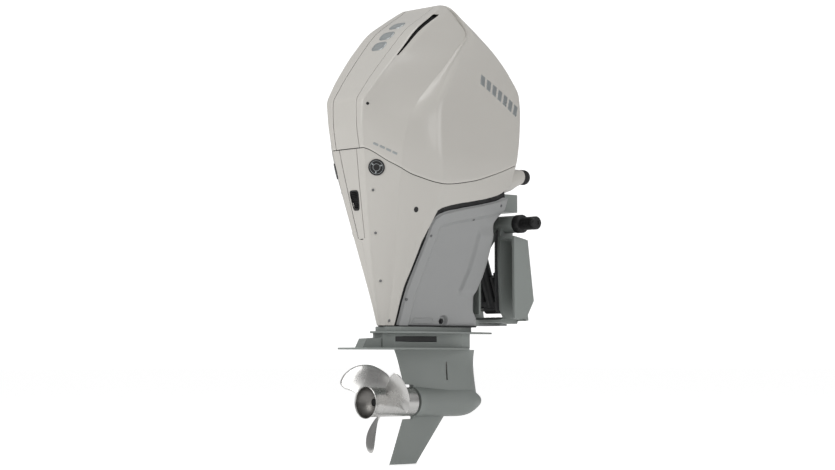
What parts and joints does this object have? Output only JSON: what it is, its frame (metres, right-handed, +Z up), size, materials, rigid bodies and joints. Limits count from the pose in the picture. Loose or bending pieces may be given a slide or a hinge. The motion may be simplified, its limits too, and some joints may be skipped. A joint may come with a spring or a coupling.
{
  "type": "outboard motor",
  "caption": "Large four-stroke V outboard motor with lift-off cowl, trim and tilt bracket, steering swivel, gearcase and three-bladed propeller.",
  "frame": {"origin": "midway between the two upper transom bolt holes, on the mounting face", "axes": "+X towards the bow, +Y to port, +Z up, engine upright and straight ahead"},
  "size_m": [0.8365, 0.5427, 1.767],
  "materials": {
    "cowl_paint": "gloss warm white paint",
    "cover_grey": "satin mid grey moulded cover",
    "casting_grey": "satin grey-green marine enamel on casting",
    "block_black": "satin black enamel",
    "trim_black": "moulded black",
    "rubber": "matt rubber",
    "steel": "machined steel",
    "stainless": "polished stainless steel",
    "alloy": "bare cast aluminium"
  },
  "bodies": {
    "transom_bracket": {"clamp_bracket_port": "casting_grey", "clamp_bracket_starboard": "casting_grey", "tilt_tube": "stainless", "steering_cylinder": "trim_black", "lower_tie_casting": "casting_grey", "bracket_anode": "alloy", "trim_cylinder_pin": "stainless"},
    "trim_cylinder": {"trim_cylinder_barrel": "block_black", "trim_pump_motor": "block_black", "trim_fluid_reservoir": "trim_black"},
    "trim_ram": {"trim_rod": "stainless"},
    "swivel": {"swivel_bracket": "casting_grey", "swivel_bushings": "trim_black", "trim_rod_pin": "stainless"},
    "tilt_lock": {"tilt_lock_lever": "casting_grey"},
    "engine": {"steering_yoke": "casting_grey", "lower_yoke": "casting_grey", "mount_rubbers": "rubber", "driveshaft_housing": "casting_grey", "adapter_plate": "casting_grey", "splash_plate": "casting_grey", "crankcase": "alloy", "cylinder_head_port": "alloy", "cylinder_head_starboard": "alloy", "intake_plenum": "trim_black", "oil_filter": "block_black", "starter_motor": "block_black", "alternator_housing": "alloy", "idle_relief_grille": "trim_black", "rigging_tube": "trim_black", "gearcase_housing": "casting_grey", "water_inlet_screens": "casting_grey", "bearing_carrier": "alloy", "gearcase_bearings": "steel", "water_pump_housing": "trim_black", "shift_shaft": "stainless", "rear_panel": "cowl_paint", "lower_cowl_port": "cowl_paint", "lower_cowl_starboard": "cowl_paint", "mid_cover_port": "cover_grey", "mid_cover_starboard": "cover_grey", "cowl_seal": "rubber", "cover_screws": "stainless", "side_badges": "trim_black"},
    "crank_train": {"crankshaft": "steel", "flywheel": "steel", "driveshaft": "steel", "pinion_gear": "steel", "pump_impeller": "rubber"},
    "propeller_train": {"propeller_shaft": "stainless", "forward_gear": "steel", "clutch_dog": "steel", "propeller": "stainless", "propeller_nut": "stainless"},
    "reverse_gear": {"reverse_gear": "steel"},
    "alternator": {"alternator_rotor": "steel"},
    "top_cowl": {"cowl_shell": "cowl_paint", "air_slot_grilles": "trim_black"},
    "service_door": {"service_door": "cowl_paint"},
    "trim_switch": {"trim_switch": "trim_black"}
  },
  "joints": [
    {"name": "trim_tilt", "type": "hinge", "parent": "transom_bracket", "child": "swivel", "pos_m": [-0.042, 0, 0.084], "axis": [0, 1, 0], "range_deg": [-5, 65]},
    {"name": "trim_cylinder_swing", "type": "hinge", "parent": "transom_bracket", "child": "trim_cylinder", "pos_m": [0, 0, -0.245], "axis": [0, 1, 0], "range_deg": [-1, 2]},
    {"name": "trim_ram_extend", "type": "slide", "parent": "trim_cylinder", "child": "trim_ram", "axis": [-0.3357, 0, 0.942], "range_m": [-0.0075, 0.09]},
    {"name": "steering", "type": "hinge", "parent": "swivel", "child": "engine", "pos_m": [-0.16, 0, 0], "axis": [0, 0, 1], "range_deg": [-25, 25]},
    {"name": "tilt_lock_swing", "type": "hinge", "parent": "swivel", "child": "tilt_lock", "pos_m": [-0.1, 0.06, -0.02], "axis": [0, 1, 0], "range_deg": [-55, 0]},
    {"name": "crank_spin", "type": "hinge", "parent": "engine", "child": "crank_train", "pos_m": [-0.267, 0, 0], "axis": [0, 0, 1], "continuous": true},
    {"name": "propeller_spin", "type": "hinge", "parent": "engine", "child": "propeller_train", "pos_m": [-0.267, 0, -0.608], "axis": [1, 0, 0], "continuous": true},
    {"name": "reverse_gear_spin", "type": "hinge", "parent": "engine", "child": "reverse_gear", "pos_m": [-0.267, 0, -0.608], "axis": [1, 0, 0], "continuous": true},
    {"name": "alternator_spin", "type": "hinge", "parent": "engine", "child": "alternator", "pos_m": [-0.118, 0.104, 0], "axis": [0, 0, 1], "continuous": true},
    {"name": "cowl_lift", "type": "slide", "parent": "engine", "child": "top_cowl", "axis": [0, 0, 1], "range_m": [0, 0.65]},
    {"name": "service_door_open", "type": "hinge", "parent": "top_cowl", "child": "service_door", "pos_m": [-0.38, 0, 0.925], "axis": [0, 1, 0], "range_deg": [0, 70]},
    {"name": "trim_switch_rock", "type": "hinge", "parent": "engine", "child": "trim_switch", "pos_m": [-0.25, 0.203, 0.215], "axis": [1, 0, 0], "range_deg": [-6, 6], "stiffness_Nm_per_rad": 0.5}
  ],
  "couplings": [
    {"joint": "trim_cylinder_swing", "follows": "trim_tilt", "ratio": 0.01},
    {"joint": "trim_ram_extend", "follows": "trim_tilt", "m_per_rad": 0.0732},
    {"joint": "propeller_spin", "follows": "crank_spin", "ratio": 0.54167},
    {"joint": "reverse_gear_spin", "follows": "crank_spin", "ratio": -0.54167},
    {"joint": "alternator_spin", "follows": "crank_spin", "ratio": 3}
  ]
}
